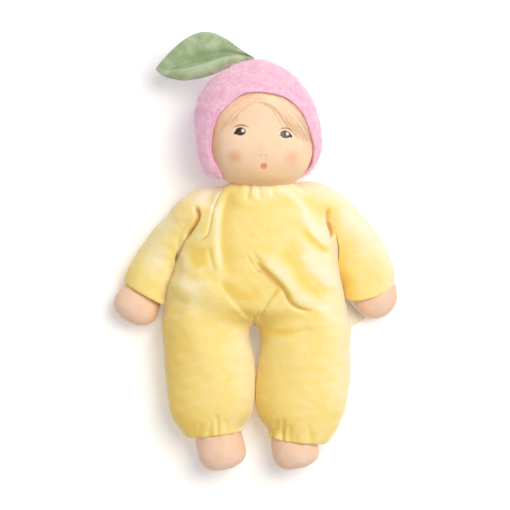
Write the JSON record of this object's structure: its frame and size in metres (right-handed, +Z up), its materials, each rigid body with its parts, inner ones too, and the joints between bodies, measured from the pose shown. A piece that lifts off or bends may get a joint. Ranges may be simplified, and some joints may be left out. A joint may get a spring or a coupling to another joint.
{
  "type": "waldorf doll",
  "caption": "Soft cloth doll in a velour suit stuffed with wool, with jersey hands and feet, a felt hat and a cloth leaf; head, arms, legs and leaf move.",
  "frame": {"origin": "middle of the back, on the surface that the doll lies on", "axes": "+Y towards the head, +Z up out of the belly, +X to the doll's own left"},
  "size_m": [0.1931, 0.3005, 0.0743],
  "materials": {
    "velour": "soft brushed cotton velour, matte, with a short nap",
    "skin_jersey": "finely ribbed cotton jersey, matte",
    "wool_felt": "brushed wool felt, mottled and hairy",
    "leaf_jersey": "ribbed cotton jersey, matte",
    "mohair": "fine mohair strands, soft sheen",
    "stuffing_wool": "carded sheep's wool, raw",
    "thread": "strong cotton thread",
    "label_tape": "plain woven tape, bare"
  },
  "bodies": {
    "torso": {"suit_front": "velour", "suit_back": "velour", "body_wool": "stuffing_wool", "neckline_hem": "velour"},
    "neck": {"neck_wool_roll": "stuffing_wool", "neck_tie_thread": "thread"},
    "head": {"head_wool": "stuffing_wool", "eye_line_thread": "thread", "head_skin": "skin_jersey", "hair_fringe": "mohair", "hat_front": "wool_felt", "hat_back": "wool_felt"},
    "leaf": {"leaf_top": "leaf_jersey", "leaf_underside": "leaf_jersey"},
    "arm_left": {"sleeve_front_left": "velour", "sleeve_back_left": "velour", "arm_wool_left": "stuffing_wool", "hand_skin_left": "skin_jersey", "hand_wool_left": "stuffing_wool", "hand_tie_thread_left": "thread"},
    "leg_left": {"trouser_front_left": "velour", "trouser_back_left": "velour", "leg_wool_left": "stuffing_wool", "foot_skin_left": "skin_jersey", "foot_wool_left": "stuffing_wool", "foot_tie_thread_left": "thread", "side_label": "label_tape"},
    "arm_right": {"sleeve_front_right": "velour", "sleeve_back_right": "velour", "arm_wool_right": "stuffing_wool", "hand_skin_right": "skin_jersey", "hand_wool_right": "stuffing_wool", "hand_tie_thread_right": "thread"},
    "leg_right": {"trouser_front_right": "velour", "trouser_back_right": "velour", "leg_wool_right": "stuffing_wool", "foot_skin_right": "skin_jersey", "foot_wool_right": "stuffing_wool", "foot_tie_thread_right": "thread"}
  },
  "joints": [
    {"name": "neck_turn", "type": "hinge", "parent": "torso", "child": "neck", "pos_m": [0.0025, 0.045, 0.0393], "axis": [0, 1, 0], "range_deg": [-40, 40]},
    {"name": "head_nod", "type": "hinge", "parent": "neck", "child": "head", "pos_m": [0.0025, 0.055, 0.0393], "axis": [1, 0, 0], "range_deg": [-8, 8]},
    {"name": "leaf_flap", "type": "hinge", "parent": "head", "child": "leaf", "pos_m": [-0.0025, 0.1356, 0.0393], "axis": [0, 1, 0], "range_deg": [-10, 45]},
    {"name": "shoulder_left", "type": "hinge", "parent": "torso", "child": "arm_left", "pos_m": [0.04884, 0.033, 0.025], "axis": [0, 0, 1], "range_deg": [0, 75]},
    {"name": "shoulder_right", "type": "hinge", "parent": "torso", "child": "arm_right", "pos_m": [-0.04316, 0.033, 0.025], "axis": [0, 0, -1], "range_deg": [0, 75]},
    {"name": "hip_left", "type": "hinge", "parent": "torso", "child": "leg_left", "pos_m": [0.032, -0.042, 0.0275], "axis": [-1, 0, 0], "range_deg": [0, 80]},
    {"name": "hip_right", "type": "hinge", "parent": "torso", "child": "leg_right", "pos_m": [-0.032, -0.042, 0.0275], "axis": [-1, 0, 0], "range_deg": [0, 80]}
  ]
}
